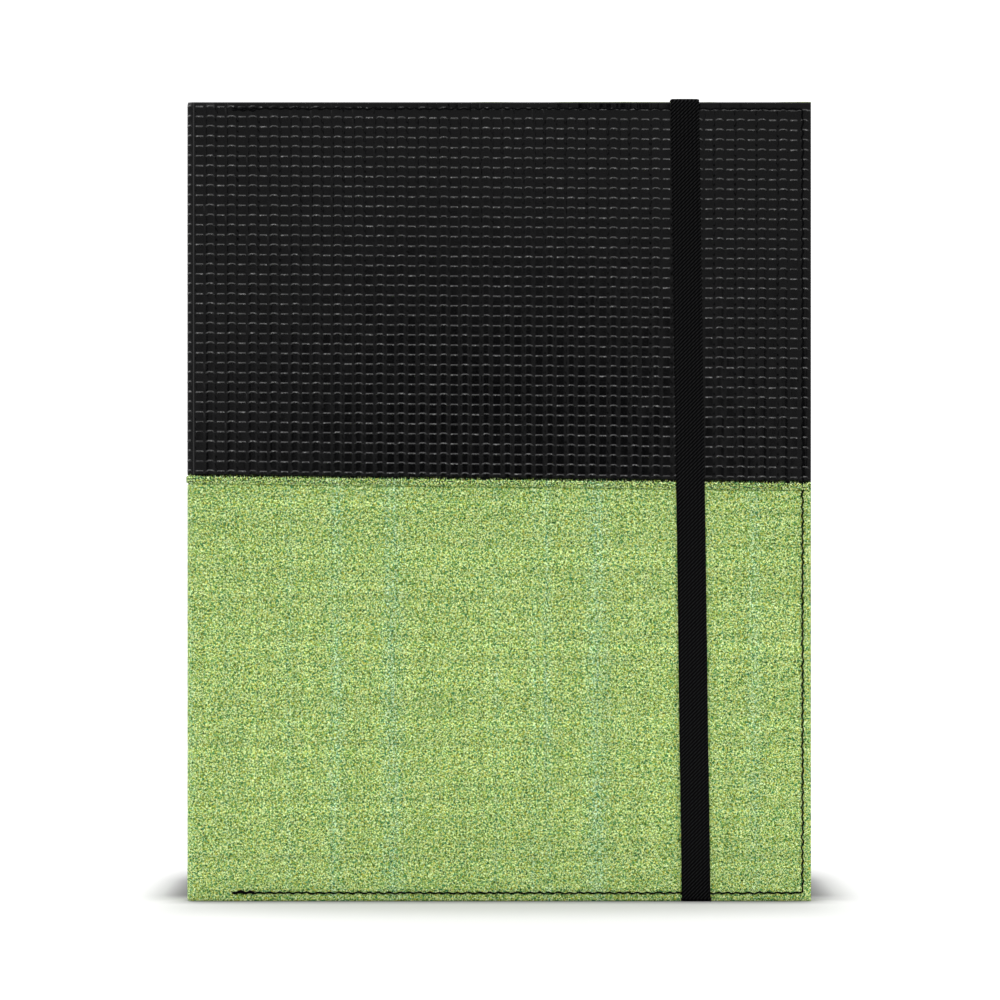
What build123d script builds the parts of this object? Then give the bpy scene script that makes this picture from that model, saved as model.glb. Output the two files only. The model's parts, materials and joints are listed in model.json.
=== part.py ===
from build123d import *

import math
import os

# A stock book of eight leaves in a sewn slip jacket: black coated scrim above, green heather cloth below.
# It stands on its bottom edges. +X is right, -Y is the front, +Z is up, and the spine is at -X.
# Lengths are in millimetres. Pieces are built in places of their own, with "along" measured from the outside
# of the spine and "deep" from the outside of the front cover, and placed() moves them to the frame's origin.

# jacket
cover_width = 250.0
cover_height = 320.0
skin_thickness = 0.8
lining_thickness = 0.5
fold_radius = 3.0
fold_gap = 0.15  # on each side of the line where a skin is parted for its joint
pocket_mouth = 17.6

# seam between the two cloths: its height at the front fold, and its fall over one cover
seam_height_at_fold = 170.5
seam_fall = 2.8

# boards
board_thickness = 2.5
board_start = 8.0
board_margin = 6.0
spine_board_thickness = 2.5
spine_board_margin = 0.4
spine_cloth_thickness = 0.5

# edge stitching
thread_width = 0.7
thread_depth = 0.4
stitch_inset_top = 2.6
stitch_inset_side = 3.4
stitch_inset_bottom = 3.2

# elastic closing band
band_width = 11.2
band_thickness = 1.1
band_inset_top = 50.6
band_inset_bottom = 46.0
band_tail = 4.8
band_notch_clearance = 0.4

# leaves
leaf_count = 8
leaf_pitch = 1.7
leaf_margin = 8.0
fore_margin = 14.0
card_thickness = 0.7
strip_thickness = 0.2
strip_count = 9
strip_gap = 8.0
strip_end_margin = 5.0
strip_root_margin = 10.0
interleaf_thickness = 0.15
interleaf_gap = 0.05
interleaf_root_margin = 3.0
stack_clearance = 0.6

# leaf hinges: each pivot stands further out than its outer neighbour, so that open leaves lie side by side
stub_length = 8.8
stub_to_pivot = 1.2
pivot_to_card = 0.8
tape_thickness = 0.2
tape_on_stub = 8.0
tape_on_card = 9.0
tape_fold_gap = 0.15

# what follows from the values above
cover_thickness = skin_thickness + board_thickness + lining_thickness
spine_thickness = skin_thickness + spine_board_thickness + spine_cloth_thickness
behind_card_face = card_thickness + strip_thickness + interleaf_gap + interleaf_thickness
stack_depth = strip_thickness + (leaf_count - 1) * leaf_pitch + behind_card_face
album_depth = 2 * (cover_thickness + stack_clearance) + stack_depth
first_card_deep = cover_thickness + stack_clearance + strip_thickness
stub_thickness = leaf_pitch - tape_thickness
stub_step = leaf_pitch
flange_inner = album_depth - skin_thickness - lining_thickness
card_end = cover_width - fore_margin
leaf_heights = (leaf_margin, cover_height - leaf_margin)
full_height = (0, cover_height)
over = 5.0  # how far a cutting solid runs past what it cuts


def placed(shape):
    """A piece, or the solids of a group of pieces, moved to the frame's origin."""
    move = Pos(-cover_width / 2, -(album_depth - band_thickness) / 2, 0)
    if isinstance(shape, list):
        return Compound([move * solid.solid() for solid in shape])
    return move * shape


def block(along, deep, height):
    """A box between the two values given for each direction."""
    sides = (along, deep, height)
    size = [high - low for low, high in sides]
    return Pos(*[(low + high) / 2 for low, high in sides]) * Box(*size)


def on_the_back(shape):
    """The matching piece of the back cover, from one of the front cover."""
    return mirror(shape, about=Plane(origin=(0, album_depth / 2, 0), z_dir=(0, 1, 0)))


def seam_height(unrolled):
    """Height of the seam on the unrolled jacket, where the front fold is zero and the front cover positive."""
    return seam_height_at_fold - seam_fall * unrolled / cover_width


def below_seam(plane, unrolled_from, turn, length):
    """Everything under the seam. turn is -1 where the plane's first axis runs back along the jacket."""
    start, end = -over, length + over
    corners = [
        (start, seam_height(unrolled_from + turn * start)),
        (end, seam_height(unrolled_from + turn * end)),
        (end, -over),
        (start, -over),
    ]
    return extrude(plane * make_face(Polyline(*corners, close=True)), 2 * cover_width, both=True)


def fold_arc(radius, centre_deep, quarter_start, at_far_end):
    """Half of a fold's section, short of the line where the skin parts, which is at its far or near end."""
    short = math.degrees(math.asin(fold_gap / radius))
    start = quarter_start if at_far_end else quarter_start + short
    return CenterArc((fold_radius, centre_deep), radius, start, 45 - short)


def extruded_section(outer, inner):
    """A skin's section, as an outer and an inner line that run the same way, drawn up to its full height."""
    ends = [Line(outer[-1] @ 1, inner[-1] @ 1), Line(inner[0] @ 0, outer[0] @ 0)]
    return extrude(make_face([*outer, *inner, *ends]), cover_height, dir=(0, 0, 1))


def cover_skin():
    lines = []
    for inset in (0, skin_thickness):
        arc = fold_arc(fold_radius - inset, fold_radius, 225, False)
        lines.append([arc, Line(arc @ 1, (cover_width, inset))])
    return extruded_section(*lines)


def spine_skin():
    lines = []
    for inset in (0, skin_thickness):
        near_back = fold_arc(fold_radius - inset, album_depth - fold_radius, 135, False)
        near_front = fold_arc(fold_radius - inset, fold_radius, 180, True)
        lines.append([near_back, Line(near_back @ 1, near_front @ 0), near_front])
    return extruded_section(*lines)


def edge_stitching():
    """The run of thread round the three open edges of a cover, flush with its outer face."""
    half = thread_width / 2
    side = cover_width - stitch_inset_side
    bottom = stitch_inset_bottom
    top = cover_height - stitch_inset_top
    deep = (0, thread_depth)
    low_run = block((pocket_mouth, side + half), deep, (bottom - half, bottom + half))
    high_run = block((pocket_mouth, side + half), deep, (top - half, top + half))
    side_run = block((side - half, side + half), deep, (bottom - half, top + half))
    return low_run + side_run + high_run


def cover_board():
    heights = (board_margin, cover_height - board_margin)
    deep = (skin_thickness, skin_thickness + board_thickness)
    return block((board_start, cover_width - board_margin), deep, heights)


def pocket_lining():
    """A cloth tray: its rim is sewn to the skin on three sides, and its middle passes over the board."""
    around = board_margin - lining_thickness
    rim = block((pocket_mouth, cover_width), (skin_thickness, skin_thickness + lining_thickness), full_height)
    heights = (around, cover_height - around)
    cup = block((pocket_mouth, cover_width - around), (skin_thickness, cover_thickness), heights)
    return rim + cup - cover_board()


def slanted_run(width):
    """A band-wide wall that leans as the elastic does, through the whole depth of the album."""
    top = cover_height + band_thickness
    at_bottom = cover_width - band_inset_bottom
    at_top = cover_width - band_inset_top
    corners = [
        (at_bottom - width / 2, 0),
        (at_bottom + width / 2, 0),
        (at_top + width / 2, top),
        (at_top - width / 2, top),
    ]
    return extrude(Plane.XZ * make_face(Polyline(*corners, close=True)), 2 * cover_width, both=True)


def closing_band():
    """Over the top edge, down the front and under the bottom edge, with both ends sewn inside the back cover."""
    across = (0, cover_width)
    top = cover_height + band_thickness
    tail = (flange_inner - band_thickness, flange_inner)
    reach = (-band_thickness, flange_inner)
    path = block(across, (-band_thickness, 0), (0, top))
    path += block(across, reach, (cover_height, top))
    path += block(across, tail, (cover_height - band_tail, top))
    path += block(across, reach, (0, band_thickness))
    path += block(across, tail, (0, band_tail))
    return slanted_run(band_width) & path


def band_notch():
    """Where the elastic is pulled up into the soft bottom edge of the front cover."""
    edge = block((0, cover_width), (-over, skin_thickness + lining_thickness + over), (-over, band_thickness))
    return slanted_run(band_width + 2 * band_notch_clearance) & edge


def pivot_along(leaf):
    steps = min(leaf, leaf_count - 1 - leaf)
    return spine_thickness + stub_length + stub_to_pivot + steps * stub_step


def card_deep(leaf):
    return first_card_deep + leaf * leaf_pitch


def leaf_card(leaf):
    front = card_deep(leaf)
    return block((pivot_along(leaf) + pivot_to_card, card_end), (front, front + card_thickness), leaf_heights)


def leaf_strips(leaf):
    """Clear pockets on both sides of a card, one above another."""
    low, high = leaf_heights
    pitch = (high - low - strip_gap) / strip_count
    along = (pivot_along(leaf) + strip_root_margin, card_end - strip_end_margin)
    front = card_deep(leaf)
    back = front + card_thickness
    strips = []
    for deep in ((front - strip_thickness, front), (back, back + strip_thickness)):
        for row in range(strip_count):
            bottom = low + strip_gap + row * pitch
            strips.append(block(along, deep, (bottom, bottom + pitch - strip_gap)))
    return strips


def leaf_interleaf(leaf):
    back = card_deep(leaf) + behind_card_face
    along = (pivot_along(leaf) + interleaf_root_margin, card_end)
    return block(along, (back - interleaf_thickness, back), leaf_heights)


def leaf_tape(leaf):
    front = card_deep(leaf)
    start = pivot_along(leaf) + tape_fold_gap
    return block((start, start + tape_on_card), (front - tape_thickness, front), leaf_heights)


def stub(leaf):
    front = card_deep(leaf)
    end = pivot_along(leaf) - stub_to_pivot
    return block((spine_thickness, end), (front, front + stub_thickness), leaf_heights)


def stub_tape(leaf):
    """The half of a leaf's tape that is glued to its stub."""
    front = card_deep(leaf)
    end = pivot_along(leaf) - tape_fold_gap
    return block((end - tape_on_stub, end), (front - tape_thickness, front), leaf_heights)


def spine_board():
    margin = cover_thickness + spine_board_margin
    deep = (margin, album_depth - margin)
    heights = (board_margin, cover_height - board_margin)
    return block((skin_thickness, skin_thickness + spine_board_thickness), deep, heights)


def spine_cloth():
    margin = cover_thickness + spine_board_margin
    deep = (margin, album_depth - margin)
    return block((spine_thickness - spine_cloth_thickness, spine_thickness), deep, leaf_heights)


def jacket_pieces():
    low_front = below_seam(Plane.XZ, 0, 1, cover_width)
    low_spine = below_seam(Plane.YZ, 0, -1, album_depth)
    low_back = below_seam(Plane.XZ, -album_depth, -1, cover_width)
    front = cover_skin() - edge_stitching()
    back = on_the_back(front)
    front = front - band_notch()
    spine = spine_skin()
    return {
        "front_vinyl_panel": front - low_front,
        "front_fabric_panel": front & low_front,
        "spine_vinyl_panel": spine - low_spine,
        "spine_fabric_panel": spine & low_spine,
        "back_vinyl_panel": back - low_back,
        "back_fabric_panel": back & low_back,
        "front_edge_thread": edge_stitching(),
        "back_edge_thread": on_the_back(edge_stitching()),
        "front_pocket_lining": pocket_lining() - band_notch(),
        "back_pocket_lining": on_the_back(pocket_lining()),
        "front_board": cover_board(),
        "back_board": on_the_back(cover_board()),
        "spine_board": spine_board(),
        "spine_cloth": spine_cloth(),
        "elastic_band": closing_band(),
    }


def leaf_pieces():
    leaves = range(leaf_count)
    pieces = {
        "guard_stubs": [stub(leaf) for leaf in leaves],
        "stub_tapes": [stub_tape(leaf) for leaf in leaves],
    }
    for leaf in leaves:
        name = f"leaf_{leaf + 1}"
        pieces[f"{name}_card"] = leaf_card(leaf)
        pieces[f"{name}_strips"] = leaf_strips(leaf)
        pieces[f"{name}_interleaf"] = leaf_interleaf(leaf)
        pieces[f"{name}_tape"] = leaf_tape(leaf)
    return pieces


def main():
    os.makedirs("parts", exist_ok=True)
    for node, shape in {**jacket_pieces(), **leaf_pieces()}.items():
        export_step(placed(shape), f"parts/{node}.step")


if __name__ == "__main__":
    main()
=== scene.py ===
import json
import math
import random

import bmesh
import bpy
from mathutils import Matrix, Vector, noise


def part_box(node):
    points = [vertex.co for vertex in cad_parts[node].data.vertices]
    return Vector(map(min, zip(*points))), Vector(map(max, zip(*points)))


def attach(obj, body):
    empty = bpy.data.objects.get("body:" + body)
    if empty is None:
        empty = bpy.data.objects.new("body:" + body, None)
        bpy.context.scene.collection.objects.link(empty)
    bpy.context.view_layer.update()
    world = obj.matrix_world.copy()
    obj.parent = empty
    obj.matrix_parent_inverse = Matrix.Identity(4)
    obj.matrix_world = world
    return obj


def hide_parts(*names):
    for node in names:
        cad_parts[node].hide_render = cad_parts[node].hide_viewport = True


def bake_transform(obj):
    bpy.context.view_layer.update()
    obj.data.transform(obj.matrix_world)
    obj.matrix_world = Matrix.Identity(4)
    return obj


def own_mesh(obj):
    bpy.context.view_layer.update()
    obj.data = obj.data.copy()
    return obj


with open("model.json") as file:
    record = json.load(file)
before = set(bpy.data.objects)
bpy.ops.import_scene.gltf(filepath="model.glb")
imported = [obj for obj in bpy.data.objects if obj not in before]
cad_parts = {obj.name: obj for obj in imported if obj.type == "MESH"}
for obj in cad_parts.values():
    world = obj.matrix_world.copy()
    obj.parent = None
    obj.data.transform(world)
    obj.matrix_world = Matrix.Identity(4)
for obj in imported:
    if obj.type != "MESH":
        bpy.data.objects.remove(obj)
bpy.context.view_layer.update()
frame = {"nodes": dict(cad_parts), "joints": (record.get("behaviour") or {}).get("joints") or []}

mm = 0.001


def jointPlace(name):
    return Vector(next(joint for joint in frame["joints"] if joint["name"] == name)["pos_m"])


# Where the album's surfaces are, in metres
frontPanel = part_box("front_vinyl_panel")
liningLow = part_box("front_pocket_lining")[0]
bandLow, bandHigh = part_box("elastic_band")
album = {
    "left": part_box("spine_vinyl_panel")[0].x,
    "right": frontPanel[1].x,
    "front": frontPanel[0].y,
    "back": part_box("back_vinyl_panel")[1].y,
    "top": frontPanel[1].z,
    "foldRadius": 3.0 * mm,
    "skin": 0.76 * mm,
    "seamAtSpine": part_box("spine_fabric_panel")[1].z,
    "seamSlope": 0.0112,
}
midDepth = (album["front"] + album["back"]) / 2
halfDepth = (album["back"] - album["front"]) / 2
flatSpine = halfDepth - album["foldRadius"]
faceStart = flatSpine + album["foldRadius"] * math.pi / 2
coverWidth = album["right"] - album["left"]
jacketReach = faceStart + album["right"] - album["left"] - album["foldRadius"]
sideOf = {"front": -1, "back": 1}


def smooth(low, high, value):
    share = min(max((value - low) / (high - low), 0), 1)
    return share * share * (3 - 2 * share)


def dip(distance, width):
    return math.exp(-((distance / width) ** 2))


def wander(x, y, size, seed=0):
    # slow noise from -1 to 1, for cloth that is never quite even
    return noise.noise(Vector((x / size, y / size, seed * 7.3)))


def alongAt(x):
    return faceStart + x - album["left"] - album["foldRadius"]


def jacketPoint(side, along, height, rise):
    # along runs over the outside from the middle of the spine, and rise stands out of the surface
    radius = album["foldRadius"]
    if along < flatSpine:
        return Vector((album["left"] - rise, midDepth + side * along, height))
    if along < faceStart:
        angle = (along - flatSpine) / radius
        return Vector((
            album["left"] + radius - (radius + rise) * math.cos(angle),
            midDepth + side * (flatSpine + (radius + rise) * math.sin(angle)),
            height,
        ))
    x = album["left"] + radius + along - faceStart
    return Vector((x, midDepth + side * (halfDepth + rise), height))


def seamHeight(side, along):
    return album["seamAtSpine"] + side * album["seamSlope"] * along


def evenLines(start, end, step):
    count = max(1, round((end - start) / step))
    return [start + (end - start) * n / count for n in range(count + 1)]


def roundedPath(corners, radius):
    # a line through square corners, each turned with a small radius
    found = [corners[0]]
    for before, here, after in zip(corners, corners[1:], corners[2:]):
        inward, onward = (before - here).normalized(), (after - here).normalized()
        centre = here + (inward + onward) * radius
        for n in range(5):
            angle = n / 4 * math.pi / 2
            found.append(centre - onward * radius * math.cos(angle) - inward * radius * math.sin(angle))
    return found + [corners[-1]]


def evenPath(path, step):
    found = [path[0]]
    for before, after in zip(path, path[1:]):
        count = max(1, round((after - before).length / step))
        found += [before + (after - before) * n / count for n in range(1, count + 1)]
    return found


def gridPiece(name, columns, rows, place, outward):
    # place gives each crossing of the grid its point and its place on the flat cloth
    mesh = bmesh.new()
    bmesh.ops.create_grid(mesh, x_segments=columns, y_segments=rows, size=0.5)
    # a third value from place, where given, is how much painted glint the vinyl finish puts at that point
    paintedGlint = mesh.verts.layers.float.new("paintedGlint")
    flatPlace = {}
    for vert in mesh.verts:
        i = round((vert.co.x + 0.5) * columns)
        j = round((vert.co.y + 0.5) * rows)
        vert.co, flatPlace[vert], *glintShare = place(i, j)
        vert[paintedGlint] = glintShare[0] if glintShare else 0
    uv = mesh.loops.layers.uv.new("cloth")
    total = Vector((0, 0, 0))
    for face in mesh.faces:
        face.smooth = True
        face.normal_update()
        total += face.normal * face.calc_area()
        for loop in face.loops:
            loop[uv].uv = flatPlace[loop.vert]
    if total.dot(Vector(outward)) < 0:
        bmesh.ops.reverse_faces(mesh, faces=mesh.faces[:])
    return meshPiece(name, mesh)


def meshPiece(name, mesh):
    data = bpy.data.meshes.new(name)
    mesh.to_mesh(data)
    mesh.free()
    piece = bpy.data.objects.new(name, data)
    bpy.context.scene.collection.objects.link(piece)
    return piece


def thicken(piece, thickness, offset=-1, sharpAngle=50):
    solid = piece.modifiers.new("thickness", "SOLIDIFY")
    solid.thickness = thickness
    solid.offset = offset
    view = bpy.context.evaluated_depsgraph_get()
    made = bpy.data.meshes.new_from_object(piece.evaluated_get(view))
    old = piece.data
    piece.modifiers.clear()
    piece.data = made
    made.name = piece.name
    bpy.data.meshes.remove(old)
    made.set_sharp_from_angle(angle=math.radians(sharpAngle))
    return piece


def sharpenRows(piece, slight, steep):
    # the crossing edges of an embossed row are crisp, and edges up the height stay smooth round the fold
    mesh = bmesh.new()
    mesh.from_mesh(piece.data)
    for edge in mesh.edges:
        angle = edge.calc_face_angle(0)
        run = edge.verts[1].co - edge.verts[0].co
        level = abs(run.z) < 0.6 * run.length
        edge.smooth = not (angle > math.radians(steep) or (level and angle > math.radians(slight)))
    mesh.to_mesh(piece.data)
    mesh.free()


def dress(piece, material):
    piece.data.materials.clear()
    piece.data.materials.append(material)
    return piece


# The camera stands straight in front, far off, with a long lens
view = {"lens": 200, "sensor": 36, "width": 0.4006, "x": 0.0004, "z": 0.1606}


def makeCamera():
    data = bpy.data.cameras.new("camera")
    data.lens = view["lens"]
    data.sensor_width = view["sensor"]
    data.dof.use_dof = False
    data.clip_start = 0.05
    data.clip_end = 50
    camera = bpy.data.objects.new("camera", data)
    away = view["width"] * view["lens"] / view["sensor"]
    camera.location = (view["x"], album["front"] - away, view["z"])
    camera.rotation_euler = (math.radians(90), 0, 0)
    bpy.context.scene.collection.objects.link(camera)
    bpy.context.scene.camera = camera


makeCamera()
print("camera placed")


# finishes
def newGroup(name, inputs, outputs):
    group = bpy.data.node_groups.new(name, "ShaderNodeTree")
    for label, kind, value in inputs:
        made = group.interface.new_socket(label, in_out="INPUT", socket_type=kind)
        if value is not None:
            made.default_value = value
    for label, kind in outputs:
        group.interface.new_socket(label, in_out="OUTPUT", socket_type=kind)
    return group, group.nodes.new("NodeGroupInput").outputs, group.nodes.new("NodeGroupOutput").inputs


def give(tree, value, socket):
    if isinstance(value, (int, float)):
        socket.default_value = value
    elif isinstance(value, tuple):
        socket.default_value = (*value, 1) if len(socket.default_value) == 4 else value
    elif value is not None:
        tree.links.new(value, socket)


def mathNode(tree, operation, first, second=None, third=None):
    node = tree.nodes.new("ShaderNodeMath")
    node.operation = operation
    for socket, value in zip(node.inputs, (first, second, third)):
        give(tree, value, socket)
    return node.outputs[0]


def mixColours(tree, share, first, second, blend="MIX"):
    node = tree.nodes.new("ShaderNodeMix")
    node.data_type = "RGBA"
    node.blend_type = blend
    for socket, value in zip((node.inputs[0], node.inputs[6], node.inputs[7]), (share, first, second)):
        give(tree, value, socket)
    return node.outputs[2]


def ramp(tree, source, stops):
    node = tree.nodes.new("ShaderNodeValToRGB")
    while len(node.color_ramp.elements) < len(stops):
        node.color_ramp.elements.new(0.5)
    for element, (position, value) in zip(node.color_ramp.elements, stops):
        element.position = position
        element.color = (*value, 1) if isinstance(value, tuple) else (value, value, value, 1)
    tree.links.new(source, node.inputs[0])
    return node.outputs[0]


def noiseAt(
    tree, place, scale, detail=2.0, roughness=0.5, distortion=0.0, stretch=(1, 1, 1), shift=(0, 0, 0)
):
    mapping = tree.nodes.new("ShaderNodeMapping")
    mapping.inputs["Scale"].default_value = stretch
    mapping.inputs["Location"].default_value = shift
    tree.links.new(place, mapping.inputs["Vector"])
    node = tree.nodes.new("ShaderNodeTexNoise")
    tree.links.new(mapping.outputs[0], node.inputs["Vector"])
    give(tree, scale, node.inputs["Scale"])
    node.inputs["Detail"].default_value = detail
    node.inputs["Roughness"].default_value = roughness
    node.inputs["Distortion"].default_value = distortion
    return node.outputs["Fac"]


def flatPlace(tree):
    node = tree.nodes.new("ShaderNodeUVMap")
    node.uv_map = "cloth"
    return node.outputs[0]


def objectPlace(tree):
    return tree.nodes.new("ShaderNodeTexCoord").outputs["Object"]


def makeGrain():
    # fine grain and slow cloudiness, which every finish here has in some measure
    group, taken, given = newGroup(
        "fineGrain",
        [("Place", "NodeSocketVector", None), ("Scale", "NodeSocketFloat", 2000.0)],
        [("Grain", "NodeSocketFloat"), ("Cloud", "NodeSocketFloat")],
    )
    slow = mathNode(group, "MULTIPLY", taken["Scale"], 0.02)
    group.links.new(noiseAt(group, taken["Place"], taken["Scale"], 3.0, 0.6), given["Grain"])
    group.links.new(noiseAt(group, taken["Place"], slow, 3.0), given["Cloud"])
    return group


def makeWeave():
    # threads that pass over and under each other, as a height from 0 to 1
    group, taken, given = newGroup(
        "plainWeave",
        [("Place", "NodeSocketVector", None), ("Threads", "NodeSocketFloat", 2500.0)],
        [("Height", "NodeSocketFloat")],
    )
    split = group.nodes.new("ShaderNodeSeparateXYZ")
    group.links.new(taken["Place"], split.inputs[0])
    turn = mathNode(group, "MULTIPLY", taken["Threads"], math.pi)
    across = mathNode(group, "SINE", mathNode(group, "MULTIPLY", split.outputs[0], turn))
    upward = mathNode(group, "SINE", mathNode(group, "MULTIPLY", split.outputs[1], turn))
    crossing = mathNode(group, "MULTIPLY", across, upward)
    group.links.new(mathNode(group, "MULTIPLY_ADD", crossing, 0.5, 0.5), given["Height"])
    return group


grainGroup = makeGrain()
weaveGroup = makeWeave()


def grainAt(tree, place, scale):
    node = tree.nodes.new("ShaderNodeGroup")
    node.node_tree = grainGroup
    node.inputs["Scale"].default_value = scale
    tree.links.new(place, node.inputs["Place"])
    return node.outputs["Grain"], node.outputs["Cloud"]


def weaveAt(tree, place, threads):
    node = tree.nodes.new("ShaderNodeGroup")
    node.node_tree = weaveGroup
    node.inputs["Threads"].default_value = threads
    tree.links.new(place, node.inputs["Place"])
    return node.outputs["Height"]


def newMaterial(name, **settings):
    material = bpy.data.materials.new(name)
    material.use_nodes = True
    tree = material.node_tree
    shader = tree.nodes["Principled BSDF"]
    for label, value in settings.items():
        give(tree, value, shader.inputs[label.replace("_", " ")])
    return material, tree, shader


def paint(tree, shader, source, dark, light):
    # dark and light are each a place on the source's scale and the colour there
    tree.links.new(ramp(tree, source, [dark, light]), shader.inputs["Base Color"])


def bump(tree, shader, height, distance, strength=1.0):
    node = tree.nodes.new("ShaderNodeBump")
    node.inputs["Strength"].default_value = strength
    node.inputs["Distance"].default_value = distance
    tree.links.new(height, node.inputs["Height"])
    tree.links.new(node.outputs[0], shader.inputs["Normal"])


def makeVinyl():
    look = {
        "dark": (0.0016, 0.0016, 0.0018),
        "light": (0.0040, 0.0040, 0.0044),
        # the third colour is a painted highlight, used for the glints on the dash crests
        "paintedGlint": (0.20, 0.20, 0.20),
        "smoothest": 0.06,
        "roughest": 0.10,
    }
    material, tree, shader = newMaterial("textured black vinyl", Specular_IOR_Level=0.5)
    place = flatPlace(tree)
    grain, cloud = grainAt(tree, place, 2600)
    specks = ramp(tree, noiseAt(tree, place, 1500, 1.0), [(0.5, 0.0), (0.74, 1.0)])
    share = mathNode(tree, "MULTIPLY", specks, 0.7)
    black = mixColours(tree, share, look["dark"], look["light"])
    # the tops of the raised dashes get painted glints: a paler colour in places that stands in for
    # highlights
    paintedGlint = tree.nodes.new("ShaderNodeAttribute")
    paintedGlint.attribute_name = "paintedGlint"
    glints = ramp(tree, noiseAt(tree, place, 850, 1.0), [(0.50, 0.0), (0.60, 0.25), (0.72, 1.0)])
    glintShare = mathNode(tree, "MULTIPLY", paintedGlint.outputs["Fac"], glints)
    tree.links.new(mixColours(tree, glintShare, black, look["paintedGlint"]), shader.inputs["Base Color"])
    roughness = ramp(tree, cloud, [(0.3, look["smoothest"]), (0.75, look["roughest"])])
    tree.links.new(roughness, shader.inputs["Roughness"])
    bump(tree, shader, mathNode(tree, "ADD", grain, specks), 0.00003, 0.09)
    return material


clothGrid = {
    "step": 1.6 * mm,
    "bumps": 0.07 * mm,
    "allowance": 0.5 * mm,
    "allowanceWidth": 3.1 * mm,
    "evenFrom": 6 * mm,
    "evenTo": 164 * mm,
    "seam": 170 * mm,
}


def makeGreen():
    # a heather cloth of short curly yarns, with faint bluish streaks down the piece
    look = {
        "deep": (0.006, 0.040, 0.003),
        "mid": (0.130, 0.325, 0.030),
        "light": (0.355, 0.550, 0.088),
        "pale": (0.800, 0.930, 0.500),
        "teal": (0.026, 0.215, 0.085),
        "yellow": (0.560, 0.520, 0.050),
        "streak": (0.90, 1.02, 1.50),
        "yarns": 1700,
    }
    # where the bluish streaks run, from the middle of the spine: place, half width, strength
    streaks = (
        (0.0114, 0.0016, 0.5), (0.0259, 0.0016, 0.3), (0.0508, 0.0024, 0.5), (0.0696, 0.0042, 0.8),
        (0.0921, 0.0060, 0.9), (0.1339, 0.0020, 0.4), (0.1488, 0.0016, 0.6), (0.1540, 0.0022, 0.9),
        (0.1740, 0.0060, 0.9), (0.2371, 0.0036, 0.7),
    )
    material, tree, shader = newMaterial(
        "heather green cloth", Roughness=0.85, Specular_IOR_Level=0.2, Sheen_Weight=0.1, Sheen_Roughness=0.5
    )
    place = flatPlace(tree)
    split = tree.nodes.new("ShaderNodeSeparateXYZ")
    tree.links.new(place, split.inputs[0])
    curls = noiseAt(tree, place, look["yarns"], 1.0, 0.5, 1.3)
    yarn = ramp(tree, curls, [
        (0.405, look["deep"]), (0.468, look["mid"]), (0.525, look["light"]), (0.602, look["pale"]),
    ])
    hue = noiseAt(tree, place, look["yarns"] * 0.8, 1.0, 0.5, 0.9, shift=(0.31, 0.17, 0))
    yarn = mixColours(tree, ramp(tree, hue, [(0.36, 0.75), (0.46, 0.0)]), yarn, look["teal"])
    yarn = mixColours(tree, ramp(tree, hue, [(0.54, 0.0), (0.66, 0.6)]), yarn, look["yellow"])
    stops = [(0.0, 0.0)]
    for middle, half, strength in streaks:
        stops += [((middle - half) * 4 - 0.001, 0.0), (middle * 4, strength), ((middle + half) * 4, 0.0)]
    across = mathNode(tree, "MULTIPLY", mathNode(tree, "ABSOLUTE", split.outputs[0]), 4.0)
    streak = ramp(tree, across, stops[:31])
    broken = ramp(tree, noiseAt(tree, place, 900, 1.0, stretch=(1, 0.02, 1)), [(0.38, 0.25), (0.6, 1.0)])
    tinted = mixColours(tree, 1.0, yarn, look["streak"], "MULTIPLY")
    yarn = mixColours(tree, mathNode(tree, "MULTIPLY", streak, broken), yarn, tinted)
    warp = noiseAt(tree, place, 700, 1.0, stretch=(1, 0.01, 1), shift=(0.5, 0, 0))
    weft = noiseAt(tree, place, 260, 1.0, stretch=(0.01, 1, 1), shift=(0, 0.4, 0))
    lines = mathNode(tree, "MULTIPLY_ADD", mathNode(tree, "ADD", warp, weft), 0.45, 0.55)
    yarn = mixColours(tree, 1.0, yarn, lines, "MULTIPLY")
    # the turned-in strip just below the seam is pulled tight and shows darker pits
    below = mathNode(tree, "MULTIPLY_ADD", split.outputs[0], album["seamSlope"], split.outputs[1])
    strip = mathNode(tree, "GREATER_THAN", below, album["seamAtSpine"] - clothGrid["allowanceWidth"])
    pits = ramp(tree, noiseAt(tree, place, 1700, 0.0, shift=(0.2, 0.6, 0)), [(0.40, 0.12), (0.47, 1.0)])
    pitted = mixColours(tree, 1.0, yarn, pits, "MULTIPLY")
    yarn = mixColours(tree, strip, yarn, pitted)
    tree.links.new(yarn, shader.inputs["Base Color"])
    bump(tree, shader, curls, 0.0003, 0.5)
    return material


def makeLime():
    material, tree, shader = newMaterial(
        "lime lining cloth", Roughness=0.8, Specular_IOR_Level=0.3, Sheen_Weight=0.15
    )
    place = flatPlace(tree)
    grain, cloud = grainAt(tree, place, 1500)
    weave = weaveAt(tree, place, 2200)
    shade = mathNode(tree, "MULTIPLY_ADD", grain, 0.6, mathNode(tree, "MULTIPLY", cloud, 0.4))
    paint(tree, shader, shade, (0.3, (0.36, 0.52, 0.075)), (0.7, (0.56, 0.74, 0.15)))
    bump(tree, shader, weave, 0.00012, 0.6)
    return material


def makeThreadFinish():
    material, tree, shader = newMaterial(
        "black sewing thread", Roughness=0.5, Specular_IOR_Level=0.03
    )
    place = objectPlace(tree)
    grain, cloud = grainAt(tree, place, 3500)
    paint(tree, shader, grain, (0.35, (0.0006, 0.0006, 0.0008)), (0.7, (0.003, 0.003, 0.0036)))
    bump(tree, shader, grain, 0.0001, 0.6)
    return material


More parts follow.
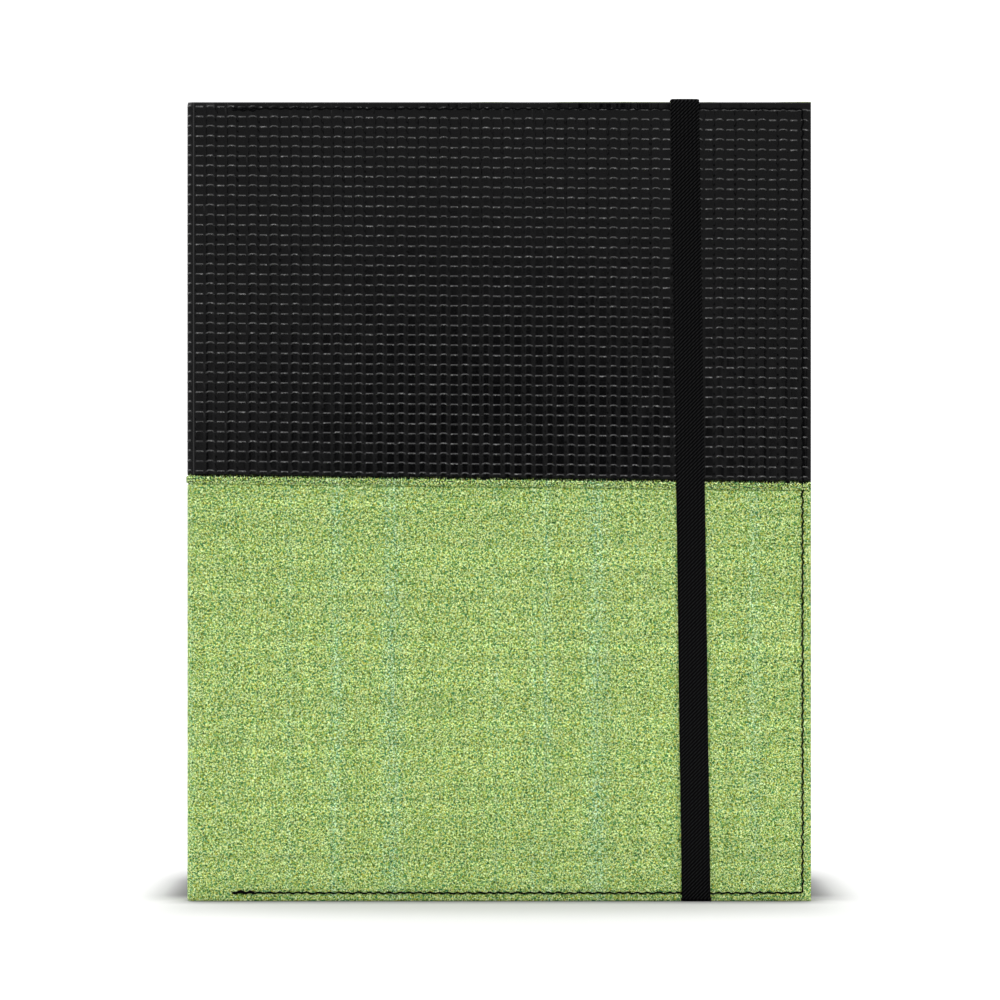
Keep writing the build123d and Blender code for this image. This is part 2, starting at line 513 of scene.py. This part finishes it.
def makeElastic():
    # fine slanting ribs between two narrow plain edges
    material, tree, shader = newMaterial("black elastic webbing", Roughness=0.65, Specular_IOR_Level=0.02)
    place = flatPlace(tree)
    split = tree.nodes.new("ShaderNodeSeparateXYZ")
    tree.links.new(place, split.inputs[0])
    slant = mathNode(tree, "MULTIPLY_ADD", split.outputs[0], 1.0, split.outputs[1])
    ribs = mathNode(tree, "SINE", mathNode(tree, "MULTIPLY", slant, 2 * math.pi / 0.00150))
    cords = mathNode(tree, "SINE", mathNode(tree, "MULTIPLY", split.outputs[0], 2 * math.pi / 0.0016))
    grain, cloud = grainAt(tree, place, 2600)
    height = mathNode(tree, "MULTIPLY_ADD", ribs, 0.5, mathNode(tree, "MULTIPLY_ADD", cords, 0.12, grain))
    paint(tree, shader, height, (0.42, (0.0001, 0.0001, 0.0002)), (1.0, (0.0135, 0.0135, 0.0142)))
    bump(tree, shader, height, 0.0002, 0.8)
    return material


def makeLinen():
    material, tree, shader = newMaterial("black book linen", Roughness=0.75, Specular_IOR_Level=0.35)
    place = objectPlace(tree)
    turned = tree.nodes.new("ShaderNodeMapping")
    turned.inputs["Rotation"].default_value = (math.radians(90), 0, 0)
    tree.links.new(place, turned.inputs["Vector"])
    grain, cloud = grainAt(tree, place, 1800)
    height = mathNode(tree, "MULTIPLY_ADD", weaveAt(tree, turned.outputs[0], 2400), 0.7, grain)
    paint(tree, shader, height, (0.3, (0.006, 0.006, 0.006)), (1.2, (0.022, 0.022, 0.023)))
    bump(tree, shader, height, 0.0001, 0.7)
    return material


def makeCard():
    material, tree, shader = newMaterial("black leaf card", Roughness=0.62, Specular_IOR_Level=0.4)
    grain, cloud = grainAt(tree, objectPlace(tree), 2400)
    mixed = mathNode(tree, "MULTIPLY_ADD", grain, 0.7, mathNode(tree, "MULTIPLY", cloud, 0.3))
    paint(tree, shader, mixed, (0.3, (0.007, 0.007, 0.007)), (0.7, (0.017, 0.017, 0.018)))
    bump(tree, shader, grain, 0.00004, 0.6)
    return material


def makeBoardPaper():
    material, tree, shader = newMaterial("black paper on board", Roughness=0.55, Specular_IOR_Level=0.4)
    grain, cloud = grainAt(tree, objectPlace(tree), 1600)
    paint(tree, shader, cloud, (0.3, (0.010, 0.010, 0.011)), (0.75, (0.024, 0.023, 0.024)))
    bump(tree, shader, grain, 0.00006, 0.7)
    return material


def makeFilm():
    material, tree, shader = newMaterial(
        "clear strip film", Base_Color=(0.9, 0.93, 0.95), Specular_IOR_Level=0.6
    )
    grain, cloud = grainAt(tree, objectPlace(tree), 700)
    tree.links.new(ramp(tree, cloud, [(0.3, 0.06), (0.75, 0.16)]), shader.inputs["Roughness"])
    tree.links.new(ramp(tree, cloud, [(0.3, 0.12), (0.75, 0.17)]), shader.inputs["Alpha"])
    return material


def makeGlassine():
    material, tree, shader = newMaterial("glassine interleaf", Roughness=0.38, Specular_IOR_Level=0.5)
    grain, cloud = grainAt(tree, objectPlace(tree), 900)
    paint(tree, shader, grain, (0.3, (0.62, 0.63, 0.61)), (0.7, (0.8, 0.81, 0.79)))
    tree.links.new(ramp(tree, cloud, [(0.3, 0.5), (0.75, 0.62)]), shader.inputs["Alpha"])
    bump(tree, shader, grain, 0.00003, 0.5)
    return material


vinyl = makeVinyl()
green = makeGreen()
lime = makeLime()
threadFinish = makeThreadFinish()
elasticFinish = makeElastic()
linen = makeLinen()
leafCard = makeCard()
boardPaper = makeBoardPaper()
film = makeFilm()
glassine = makeGlassine()
print("finishes made")


# the jacket: textured vinyl above, heather cloth below, each in a front and a back half
seamEdge = {"rollIn": 0.55 * mm, "ragged": 0.5 * mm, "raggedSize": 1.6 * mm}
stitchLine = {
    "fromRight": 3.4 * mm,
    "fromTop": 2.6 * mm,
    "fromBottom": 3.2 * mm,
    "depth": 0.26 * mm,
    "width": 0.8 * mm,
    "bead": 4.0 * mm,
}
dashes = {
    "pitchAlong": 4.25 * mm,
    "rows": 38,
    "height": 0.16 * mm,
    "hump": 0.3 * mm,
    "ridge": 0.06 * mm,
    "tilt": 0.007 * mm,
    "firstDrop": 2.0 * mm,
    "firstSlope": 0.0066,
    "lastAboveSeam": 1.5 * mm,
    "unevenness": 0.34,
    "waver": 0.09 * mm,
}


def stitchDip(along, height):
    if along < alongAt(liningLow.x):
        return 0
    distance = min(
        abs(along - (jacketReach - stitchLine["fromRight"])),
        abs(height - (album["top"] - stitchLine["fromTop"])),
        abs(height - stitchLine["fromBottom"]),
    )
    beads = 0.75 + 0.25 * math.cos((along + height) / stitchLine["bead"] * 2 * math.pi)
    return stitchLine["depth"] * beads * dip(distance, stitchLine["width"])


def ease(along, side):
    # the board underneath shows faintly as a very slow swell
    return 0.05 * mm * wander(along, side, 60 * mm, 1)


def edgeRound(along, height):
    near = min(jacketReach - along, album["top"] - height, height)
    return -0.3 * mm * (1 - smooth(0, 0.7 * mm, near))


def seamRagged(side, along):
    fine = wander(along, side, seamEdge["raggedSize"], 3) + 0.6 * wander(along, side, 0.9 * mm, 4)
    return seamEdge["ragged"] * fine


def vinylColumns():
    # one cell holds a plain dash, the next a shorter one with a hump, and a faint ridge parts them
    plain = [(0, "ridge", 0), (0.45, "low", 0), (0.8, "dash", 0), (3.3, "dash", 0), (3.7, "low", 0)]
    humped = [(0, "ridge", 0), (0.7, "half", 0), (1.4, "dash", 1), (2.75, "dash", 1), (3.55, "half", 0)]
    found = []
    cells = int(jacketReach / dashes["pitchAlong"]) + 1
    for cell in range(cells):
        for offset, kind, hump in (plain if cell % 2 else humped):
            along = cell * dashes["pitchAlong"] + offset * mm
            if along < jacketReach - 0.6 * mm:
                found.append((along, kind, hump))
    for rest in (0.5, 0.2, 0.0):
        found.append((jacketReach - rest * mm, "low", 0))
    # the wide parts of a dash get a line more where the jacket turns round the fold
    for before, after in list(zip(found, found[1:])):
        if before[0] < faceStart and after[0] > flatSpine and after[0] - before[0] > 0.8 * mm:
            for share in (0.25, 0.5, 0.75):
                between = before[0] + (after[0] - before[0]) * share
                kind = before[1] if before[1] == after[1] else "low"
                found.append((between, kind, before[2] * after[2]))
    return sorted(found)


def vinylRows():
    rows = [("top", 0.0, 0), ("top", 0.35, 0)]
    for row in range(dashes["rows"]):
        rows += [("dash", offset, row) for offset in (0.52, 0.14, 0.0, -0.13)]
    return rows + [("seam", 0.45, 0), ("seam", 0.15, 0), ("seam", 0.0, 0)]


def vinylHalf(side):
    columns, rows = vinylColumns(), vinylRows()
    chance = random.Random(11 + side)
    uneven, tilts = [], []
    for column in columns:
        uneven.append([1 + dashes["unevenness"] * chance.uniform(-1, 1) for row in range(dashes["rows"])])
        tilts.append([chance.uniform(-1, 1) for row in range(dashes["rows"])])

    def place(i, j):
        along, kind, hump = columns[i]
        rowKind, offset, row = rows[j]
        first = album["top"] - dashes["firstDrop"] + side * dashes["firstSlope"] * max(along - flatSpine, 0)
        last = seamHeight(side, along) + dashes["lastAboveSeam"]
        rise = ease(along, side) + edgeRound(along, album["top"] / 2)
        if rowKind == "top":
            height = album["top"] - offset * mm
            rise += edgeRound(0, height)
        elif rowKind == "seam":
            height = seamHeight(side, along) + offset * mm + seamRagged(side, along)
            rise -= seamEdge["rollIn"] * (1 - smooth(0, 0.5, offset))
        else:
            height = first + (last - first) * row / (dashes["rows"] - 1) + offset * mm
            share = {"dash": 1.0, "half": 0.55, "low": 0.0, "ridge": 0.0}[kind]
            crest = 0 <= offset < 0.3
            if crest:
                rise += share * dashes["height"] * uneven[i][row]
                height += hump * dashes["hump"] + dashes["waver"] * tilts[i][row]
            elif hump:
                height += hump * dashes["hump"]
            height = min(height, album["top"] - 0.5 * mm)
            height += 0.06 * mm * wander(along, height, 9 * mm, 5)
            rise += dashes["tilt"] * tilts[i][row]
        if kind == "ridge":
            rise += dashes["ridge"]
        rise -= stitchDip(along, height)
        # the crests of the full dashes carry the painted glints
        paintedGlint = 1 if rowKind == "dash" and kind == "dash" and 0 <= offset < 0.3 else 0
        return jacketPoint(side, along, height, rise), (-side * along, height), paintedGlint

    return gridPiece("vinyl", len(columns) - 1, len(rows) - 1, place, (0, side, 0))


notch = {
    "bottomX": album["left"] + 204.0 * mm,
    "half": 6.1 * mm,
    "height": 1.35 * mm,
}


def bandNotch(x, height):
    # room under the front cover's lower edge for the band's run along the bottom
    if abs(x - notch["bottomX"]) > notch["half"]:
        return height
    return max(height, notch["height"])


def greenHalf(side):
    flatEnd = jacketReach - 5.5 * mm
    columns = evenLines(0, flatSpine, 1.6 * mm) + evenLines(flatSpine, faceStart, 0.79 * mm)[1:]
    columns += evenLines(faceStart, flatEnd, clothGrid["step"])[1:]
    columns += [jacketReach - rest * mm for rest in (4.8, 4.1, 3.7, 3.4, 3.1, 2.7, 2.0, 1.2, 0.5, 0.2, 0.0)]
    if side == -1:
        columns += [alongAt(notch["bottomX"] + edge * notch["half"] * 1.003) for edge in (-1, 1)]
        columns += [alongAt(notch["bottomX"] + edge * notch["half"] * 0.999) for edge in (-1, 1)]
    columns.sort()
    # each row has its height and how far it leans to follow the seam, from 0 at the foot to 1 at the seam
    span = clothGrid["evenTo"] - clothGrid["evenFrom"]
    rows = [(h * mm, 0) for h in (0, 0.2, 0.5, 1.2, 2.0, 2.6, 2.95, 3.2, 3.45, 3.8, 4.4, 5.2)]
    for level in evenLines(clothGrid["evenFrom"], clothGrid["evenTo"], clothGrid["step"])[:-1]:
        rows.append((level, (level - clothGrid["evenFrom"]) / span))
    for drop in (5.6, 4.9, 4.3, 3.9, 3.5, 3.1, 2.6, 1.9, 1.2, 0.7, 0.35, 0.12, 0):
        rows.append((clothGrid["seam"] - drop * mm, 1))

    def place(i, j):
        along = columns[i]
        level, lean = rows[j]
        seam = seamHeight(side, along)
        height = level + (seam - clothGrid["seam"]) * lean * lean
        # the last three rows take on the ragged edge in steps
        height += seamRagged(side, along) * max(0, j - len(rows) + 4) / 3
        below = seam - height
        rise = ease(along, side) + edgeRound(along, height) - stitchDip(along, height)
        rise += clothGrid["bumps"] * wander(along, height, 1.9 * mm, 8)
        # the turned-in cloth below the seam stands a little proud and ends in a fine groove
        turnedIn = smooth(0.2 * mm, 0.9 * mm, below)
        turnedIn *= 1 - smooth(clothGrid["allowanceWidth"], clothGrid["allowanceWidth"] + 0.4 * mm, below)
        rise += clothGrid["allowance"] * turnedIn
        rise -= seamEdge["rollIn"] * (1 - smooth(0, 0.6 * mm, below))
        rise -= 0.45 * mm * dip(below - 3.5 * mm, 0.28 * mm)
        if side == -1 and along > faceStart:
            height = bandNotch(album["left"] + album["foldRadius"] + along - faceStart, height)
        return jacketPoint(side, along, height, rise), (-side * along, height)

    return gridPiece("cloth", len(columns) - 1, len(rows) - 1, place, (0, side, 0))


def makeJacket():
    for which, side in sideOf.items():
        parts = (
            ("vinyl", vinylHalf(side), vinyl, "black_scrim", 149.5 * mm),
            ("cloth", greenHalf(side), green, "green_cloth", 170.5 * mm),
        )
        for kind, piece, material, slotName, tall in parts:
            piece.name = which + ("VinylSkin" if kind == "vinyl" else "ClothSkin")
            thicken(piece, album["skin"])
            if kind == "vinyl":
                sharpenRows(piece, 6, 50)
            dress(piece, material)
            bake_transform(piece)
            word = "vinyl" if kind == "vinyl" else "fabric"
            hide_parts(which + "_" + word + "_panel", "spine_" + word + "_panel")
        print("jacket", which, "made")


makeJacket()


# the stitching round each cover: one thread that dips at every stitch
thread = {
    "pitch": 4.0 * mm,
    "step": 0.5 * mm,
    "girth": 0.38 * mm,
    "sway": 0.24 * mm,
    "lift": 0.16 * mm,
    "sunk": 0.07 * mm,
    "corner": 1.6 * mm,
    "backtack": 10.0 * mm,
}
fray = {
    "step": (0.35 * mm, 1.1 * mm),
    "width": (0.14 * mm, 0.34 * mm),
    "length": (0.3 * mm, 0.8 * mm),
    "rise": 0.24 * mm,
    "thick": 0.22 * mm,
}


def threadRun(mesh, path, outward, seed):
    rings, travelled = [], 0.0
    for n, here in enumerate(path):
        before, after = path[max(n - 1, 0)], path[min(n + 1, len(path) - 1)]
        ahead = (after - before).normalized()
        across = ahead.cross(outward)
        travelled += (here - before).length
        turn = travelled / thread["pitch"] * 2 * math.pi
        sway = thread["sway"] * math.sin(turn + 2.2 * wander(travelled, 0, 9 * mm, seed))
        sway += thread["sway"] * wander(travelled, 5, 2.6 * mm, seed)
        end = smooth(0, 1.2 * mm, min(travelled, (path[-1] - here).length + 0.1 * mm))
        girth = thread["girth"] * (0.88 + 0.12 * math.cos(turn)) * (0.25 + 0.75 * end)
        # on the vinyl the thread pulls in between stitches, on the thick cloth it stays in view
        deep = thread["sunk"] * (1 + math.cos(turn)) if here.z > album["seamAtSpine"] else 0
        lift = thread["lift"] - deep
        ring = []
        for k in range(6):
            angle = k / 6 * 2 * math.pi
            offset = across * (sway + math.cos(angle) * girth) + outward * (lift + math.sin(angle) * girth)
            ring.append(mesh.verts.new(here + offset))
        rings.append(ring)
    for before, after in zip(rings, rings[1:]):
        for k in range(6):
            mesh.faces.new((before[k], before[(k + 1) % 6], after[(k + 1) % 6], after[k]))
    mesh.faces.new(rings[0])
    mesh.faces.new(rings[-1])


def frayedSeam(mesh, side, chance):
    # the cut scrim frays a little over the cloth, in short dark ends
    along = alongAt(album["left"] + 5 * mm)
    while along < jacketReach - 1.5 * mm:
        along += chance.uniform(*fray["step"])
        half = Vector((chance.uniform(*fray["width"]), fray["thick"], chance.uniform(*fray["length"])))
        tilt = math.radians(chance.uniform(-35, 35))
        height = seamHeight(side, along) - half.z * chance.uniform(0.1, 0.8)
        centre = jacketPoint(side, along, height, fray["rise"])
        made = bmesh.ops.create_uvsphere(mesh, u_segments=5, v_segments=4, radius=1)["verts"]
        for vert in made:
            x, y, z = vert.co.x * half.x, vert.co.y * half.y, vert.co.z * half.z
            turnedX = x * math.cos(tilt) - z * math.sin(tilt)
            turnedZ = x * math.sin(tilt) + z * math.cos(tilt)
            vert.co = centre + Vector((turnedX, y, turnedZ))


def makeStitching(which):
    side = sideOf[which]
    outer = midDepth + side * halfDepth - side * 0.06 * mm
    inner = midDepth + side * (halfDepth - 1.3 * mm)
    chance = random.Random(31 + side)
    mesh = bmesh.new()
    left = liningLow.x + 0.2 * mm
    right = album["right"] - stitchLine["fromRight"]
    low = stitchLine["fromBottom"]
    high = album["top"] - stitchLine["fromTop"]
    for depth, outward in ((outer, Vector((0, side, 0))), (inner, Vector((0, -side, 0)))):
        places = ((left, low), (right, low), (right, high), (left, high))
        corners = [Vector((x, depth, z)) for x, z in places]
        path = evenPath(roundedPath(corners, thread["corner"]), thread["step"])
        threadRun(mesh, path, outward, 20 + side)
        # doubled stitches where the seam starts and ends
        lower = corners[0] + Vector((0, 0, 0.5 * mm))
        upper = corners[3] - Vector((0, 0, 0.6 * mm))
        for start, seed in ((lower, 24), (upper, 25)):
            path = evenPath([start, start + Vector((thread["backtack"], 0, 0))], thread["step"])
            threadRun(mesh, path, outward, seed + side)
    frayedSeam(mesh, side, chance)
    for face in mesh.faces:
        face.smooth = True
    bmesh.ops.recalc_face_normals(mesh, faces=mesh.faces[:])
    piece = meshPiece(which + "Stitching", mesh)
    dress(piece, threadFinish)
    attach(piece, which + "_cover")
    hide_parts(which + "_edge_thread")


for which in sideOf:
    makeStitching(which)
print("stitching made")


# the lining: a pocket of lime cloth that each board slides into
pocket = {
    "rimDepth": 1.3 * mm,
    "cupDepth": 3.8 * mm,
    "cupRight": 244.4 * mm,
    "slope": 2.1 * mm,
    "cupEdge": 5.6 * mm,
    "fringe": 0.25 * mm,
    "thickness": 0.45 * mm,
}


def liningLines(low, high, lowEdge, highEdge, step):
    # close lines where the cloth climbs on to the board, wide ones between
    found = [low, low + 0.4 * mm, low + 1.5 * mm]
    if lowEdge:
        found += [lowEdge + d * mm for d in (-2.2, -1.7, -1.2, -0.7, -0.2, 0.4, 1.2)]
    else:
        found += [low + 3 * mm]
    found += evenLines(found[-1] + step, highEdge - step, step)
    found += [highEdge + d * mm for d in (-1.2, -0.4, 0.2, 0.7, 1.2, 1.7, 2.2)]
    return sorted(found + [high - 1.5 * mm, high - 0.4 * mm, high])


def makeLining(which):
    side = sideOf[which]
    columns = liningLines(liningLow.x - album["left"], coverWidth, None, pocket["cupRight"], 5 * mm)
    rows = liningLines(0, album["top"], pocket["cupEdge"], album["top"] - pocket["cupEdge"], 5 * mm)
    if which == "front":
        middle = notch["bottomX"] - album["left"]
        columns += [middle + edge * notch["half"] for edge in (-1.003, -0.999, 0.999, 1.003)]
        columns.sort()

    def place(i, j):
        along, height = columns[i], rows[j]
        cup = 1 - smooth(pocket["cupRight"], pocket["cupRight"] + pocket["slope"], along)
        cup *= smooth(pocket["cupEdge"] - pocket["slope"], pocket["cupEdge"], height)
        cupTop = album["top"] - pocket["cupEdge"]
        cup *= 1 - smooth(cupTop, cupTop + pocket["slope"], height)
        depth = pocket["rimDepth"] + (pocket["cupDepth"] - pocket["rimDepth"]) * cup
        depth += 0.12 * mm * cup * wander(along, height, 30 * mm, 9 + side)
        hem = 1 - smooth(0, 1.5 * mm, along - columns[0])
        depth += 0.18 * mm * hem * smooth(0.2 * mm, 0.4 * mm, along - columns[0])
        if columns[0] < along < coverWidth - 1 * mm:
            depth -= 0.1 * mm * dip(along - columns[0] - 3.2 * mm, 0.6 * mm)
        if j == len(rows) - 1:
            fringe = max(0, smooth(0.02, 0.3, wander(along, 0, 26 * mm, 12)))
            height += pocket["fringe"] * fringe * (0.6 + 0.4 * wander(along, 1, 2 * mm, 13))
        x = album["left"] + along
        if which == "front" and height < notch["height"]:
            height = bandNotch(x, height)
        return Vector((x, midDepth + side * (halfDepth - depth), height)), (along, height)

    piece = gridPiece(which + "PocketLining", len(columns) - 1, len(rows) - 1, place, (0, -side, 0))
    thicken(piece, pocket["thickness"])
    dress(piece, lime)
    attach(piece, which + "_cover")
    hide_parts(which + "_pocket_lining")


for which in sideOf:
    makeLining(which)
print("pocket linings made")


# the elastic band that closes the album
band = {
    "width": 11.5 * mm,
    "thickness": 1.0 * mm,
    "bottomX": album["left"] + 204.0 * mm,
    "topX": album["left"] + 199.4 * mm,
    "bend": 0.55 * mm,
    "tail": 4.8 * mm,
    "step": 2.0 * mm,
}


def bandPath():
    # half the thickness inside the band, from the upper tail over the top, down the front and under
    front = bandLow.y + 0.55 * mm
    back = bandHigh.y - 0.55 * mm
    top = bandHigh.z - 0.3 * mm
    low = bandLow.z + 0.55 * mm
    corners = [(back, top - band["tail"]), (back, top), (front, top), (front, low), (back, low)]
    corners.append((back, low + band["tail"] - 0.55 * mm))
    return evenPath(roundedPath([Vector(corner) for corner in corners], band["bend"]), band["step"])


def makeBand():
    path = bandPath()
    lengths = [0.0]
    for before, after in zip(path, path[1:]):
        lengths.append(lengths[-1] + (after - before).length)
    across = [-1, -0.95, -0.86, -0.8, -0.45, 0, 0.45, 0.8, 0.86, 0.95, 1]
    middle = Vector(((album["front"] + album["back"]) / 2, album["top"] / 2))

    def place(i, j):
        here = path[j]
        ahead = path[min(j + 1, len(path) - 1)] - path[max(j - 1, 0)]
        outward = Vector((ahead.y, -ahead.x)).normalized()
        if outward.dot(here - middle) < 0:
            outward = -outward
        share = (here.y - bandLow.z) / (bandHigh.z - bandLow.z)
        x = band["bottomX"] + (band["topX"] - band["bottomX"]) * share
        edge = abs(across[i])
        lift = 0.5 * mm - 0.28 * mm * smooth(0.86, 1.0, edge) - 0.07 * mm * dip(edge - 0.83, 0.03)
        wave = 0.12 * mm * wander(lengths[j], 3, 40 * mm, 15)
        sideways = across[i] * band["width"] / 2
        point = Vector((x + sideways + wave, here.x + outward.x * lift, here.y + outward.y * lift))
        return point, (sideways, lengths[j])

    piece = gridPiece("elasticBand", len(across) - 1, len(path) - 1, place, (0, -1, 0))
    thicken(piece, 0.96 * mm)
    dress(piece, elasticFinish)
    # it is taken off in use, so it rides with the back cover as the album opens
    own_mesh(piece)
    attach(piece, "back_cover")
    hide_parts("elastic_band")
    print("band length", round(lengths[-1] * 1000, 1), "mm")


makeBand()


# the leaves: clear strips, an interleaf and a linen tape on each
strips = {
    "rows": 9,
    "first": 16 * mm,
    "pitch": 32.89 * mm,
    "height": 24.89 * mm,
    "film": 0.13 * mm,
    "lift": 0.1 * mm,
}


def makeStrips(leaf):
    low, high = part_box(leaf + "_strips")
    cardLow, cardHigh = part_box(leaf + "_card")
    whole = bmesh.new()
    for side, cardFace, limit in ((-1, cardLow.y, low.y), (1, cardHigh.y, high.y)):
        for row in range(strips["rows"]):
            made = bmesh.ops.create_grid(whole, x_segments=12, y_segments=4, size=0.5)["verts"]
            bottom = strips["first"] + row * strips["pitch"]
            for vert in made:
                across, up = vert.co.x + 0.5, vert.co.y + 0.5
                height = bottom + up * strips["height"]
                opened = strips["lift"] * smooth(0.3, 1, up) * (0.6 + 0.4 * wander(across, row, 0.3, side))
                offset = 0.03 * mm + min(opened, abs(limit - cardFace) - 0.16 * mm)
                vert.co = (low.x + across * (high.x - low.x), cardFace + side * offset, height)
    for face in whole.faces:
        face.smooth = True
        face.normal_update()
    cardMiddle = (cardLow.y + cardHigh.y) / 2
    wrong = []
    for face in whole.faces:
        if (face.normal.y > 0) != (face.calc_center_median().y > cardMiddle):
            wrong.append(face)
    bmesh.ops.reverse_faces(whole, faces=wrong)
    piece = thicken(meshPiece(leaf + "ClearStrips", whole), strips["film"], 1)
    dress(piece, film)
    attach(piece, leaf)
    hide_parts(leaf + "_strips")


def makeInterleaf(leaf, seed):
    low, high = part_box(leaf + "_interleaf")

    def place(i, j):
        across, up = i / 24, j / 30
        x = low.x + across * (high.x - low.x)
        z = low.z + up * (high.z - low.z)
        drift = 0.22 * mm * smooth(0.02, 0.2, across) * (0.5 + 0.5 * wander(across, up, 0.35, seed))
        return Vector((x, low.y + 0.03 * mm + drift, z)), (x, z)

    piece = gridPiece(leaf + "Glassine", 24, 30, place, (0, 1, 0))
    thicken(piece, 0.08 * mm)
    dress(piece, glassine)
    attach(piece, leaf)
    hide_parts(leaf + "_interleaf")


def makeTape(leaf):
    pivot = jointPlace(leaf + "_hinge")
    low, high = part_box(leaf + "_tape")
    reaches = [-8.15, -7.9, -4.5, -1.6, -1.2, -0.85, -0.5, -0.2, 0.1, 0.4, 0.8, 1.2, 4.5, 8.9, 9.15]
    heights = evenLines(low.z, high.z, 8 * mm)

    def place(i, j):
        x = pivot.x + reaches[i] * mm
        return Vector((x, low.y, heights[j])), (x, heights[j])

    piece = gridPiece(leaf + "LinenTape", len(reaches) - 1, len(heights) - 1, place, (0, -1, 0))
    thicken(piece, 0.18 * mm)
    dress(piece, linen)
    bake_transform(piece)
    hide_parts(leaf + "_tape", "stub_tapes")


for number in range(1, 9):
    makeStrips("leaf_%d" % number)
    makeInterleaf("leaf_%d" % number, number)
    makeTape("leaf_%d" % number)
print("leaves made")


# the boards, cards and spine keep their made shape and get their finish here
def finishNode(name, material):
    data = frame["nodes"][name].data
    data.materials.clear()
    data.materials.append(material)


for name in ("front_board", "back_board", "spine_board"):
    finishNode(name, boardPaper)
for name in ["guard_stubs"] + ["leaf_%d_card" % number for number in range(1, 9)]:
    finishNode(name, leafCard)
finishNode("spine_cloth", linen)
spareNodes = [name for name, node in frame["nodes"].items() if node.hide_render]
print("nodes finished,", len(spareNodes), "replaced")


# the studio: pale floor, soft light from above and both sides. The soft shadow round the foot is partly
# painted into the floor, so it stays where it is when the album opens
studio = {
    "front": 0.25,
    "top": 1.9,
    "topFrom": (0.30, 0.62),
    "sides": 1.0,
    "sidesFrom": (0.45, 0.85),
    "sidesAbove": (0.04, 0.4),
    "leftGlow": 0.75,
    "leftFrom": (0.10, 0.26),
    "leftTo": (0.36, 0.55),
    "cameraSpot": (0.99840, 0.99972),
    "floor": 0.60,
    "floorHalf": 0.55,
    "shadowAside": (0.124, 0.151),
    "shadowDepth": (-0.03, 0.03, 0.10, 0.23),
    "contact": (-0.040, -0.010),
    "wideContact": (-0.120, -0.040),
    "contactAside": (0.118, 0.142),
    "nearShade": 0.74,
    "wideShade": 0.26,
    "backdrop": 1.2,
}


def easeStep(tree, source, edges):
    node = tree.nodes.new("ShaderNodeMapRange")
    node.interpolation_type = "SMOOTHSTEP"
    give(tree, source, node.inputs["Value"])
    node.inputs["From Min"].default_value, node.inputs["From Max"].default_value = edges
    return node.outputs[0]


def oneMinus(tree, source):
    return mathNode(tree, "SUBTRACT", 1.0, source)


def makeStudio():
    world = bpy.data.worlds.new("studio")
    bpy.context.scene.world = world
    world.use_nodes = True
    tree = world.node_tree
    background = tree.nodes["Background"]
    split = tree.nodes.new("ShaderNodeSeparateXYZ")
    tree.links.new(tree.nodes.new("ShaderNodeTexCoord").outputs["Generated"], split.inputs[0])
    x, y, z = split.outputs

    above = easeStep(tree, z, studio["topFrom"])
    sideways = easeStep(tree, mathNode(tree, "ABSOLUTE", x), studio["sidesFrom"])
    sideways = mathNode(tree, "MULTIPLY", sideways, easeStep(tree, z, studio["sidesAbove"]))
    light = mathNode(tree, "MULTIPLY_ADD", above, studio["top"], studio["front"])
    light = mathNode(tree, "MULTIPLY_ADD", sideways, studio["sides"], light)
    left = mathNode(tree, "MULTIPLY", x, -1.0)
    beyond = oneMinus(tree, easeStep(tree, left, studio["leftTo"]))
    leftward = mathNode(tree, "MULTIPLY", easeStep(tree, left, studio["leftFrom"]), beyond)
    light = mathNode(tree, "MULTIPLY_ADD", leftward, studio["leftGlow"], light)
    spot = easeStep(tree, mathNode(tree, "MULTIPLY", y, -1.0), studio["cameraSpot"])
    light = mathNode(tree, "MULTIPLY", light, oneMinus(tree, spot))
    seen = tree.nodes.new("ShaderNodeLightPath").outputs["Is Camera Ray"]
    white = mathNode(tree, "MULTIPLY", seen, studio["backdrop"])
    tree.links.new(mathNode(tree, "MAXIMUM", light, white), background.inputs["Strength"])
    background.inputs["Color"].default_value = (1, 1, 1, 1)

    half = studio["floorHalf"]
    floor = gridPiece(
        "floor", 12, 12,
        lambda i, j: (Vector(((i / 6 - 1) * half, (j / 6 - 1) * half, -0.0002)), (i, j)),
        (0, 0, 1),
    )
    material, tree, shader = newMaterial("pale floor", Roughness=0.9, Specular_IOR_Level=0.05)
    place = objectPlace(tree)
    split = tree.nodes.new("ShaderNodeSeparateXYZ")
    tree.links.new(place, split.inputs[0])
    aside = easeStep(tree, mathNode(tree, "ABSOLUTE", split.outputs[0]), studio["shadowAside"])
    ahead = easeStep(tree, split.outputs[1], studio["shadowDepth"][:2])
    behind = easeStep(tree, split.outputs[1], studio["shadowDepth"][2:])
    shade = mathNode(tree, "MULTIPLY", oneMinus(tree, aside), ahead)
    near = easeStep(tree, split.outputs[1], studio["contact"])
    near = mathNode(tree, "MULTIPLY", near, studio["nearShade"])
    sideDistance = mathNode(tree, "ABSOLUTE", split.outputs[0])
    inside = oneMinus(tree, easeStep(tree, sideDistance, studio["contactAside"]))
    shade = mathNode(tree, "MAXIMUM", shade, mathNode(tree, "MULTIPLY", near, inside))
    wide = easeStep(tree, split.outputs[1], studio["wideContact"])
    wide = mathNode(tree, "MULTIPLY", wide, studio["wideShade"])
    shade = mathNode(tree, "MAXIMUM", shade, mathNode(tree, "MULTIPLY", wide, inside))
    shade = mathNode(tree, "MULTIPLY", shade, oneMinus(tree, behind))
    level = studio["floor"]
    soft = ramp(tree, shade, [(0.0, level), (0.5, level * 0.68), (0.8, level * 0.38), (1.0, level * 0.20)])
    grain, cloud = grainAt(tree, place, 300)
    tree.links.new(mixColours(tree, 0.02, soft, grain, "MULTIPLY"), shader.inputs["Base Color"])
    floor.data.materials.append(material)
    bpy.context.scene.view_settings.view_transform = "Standard"
    bpy.context.scene.view_settings.look = "None"


makeStudio()
print("studio made")
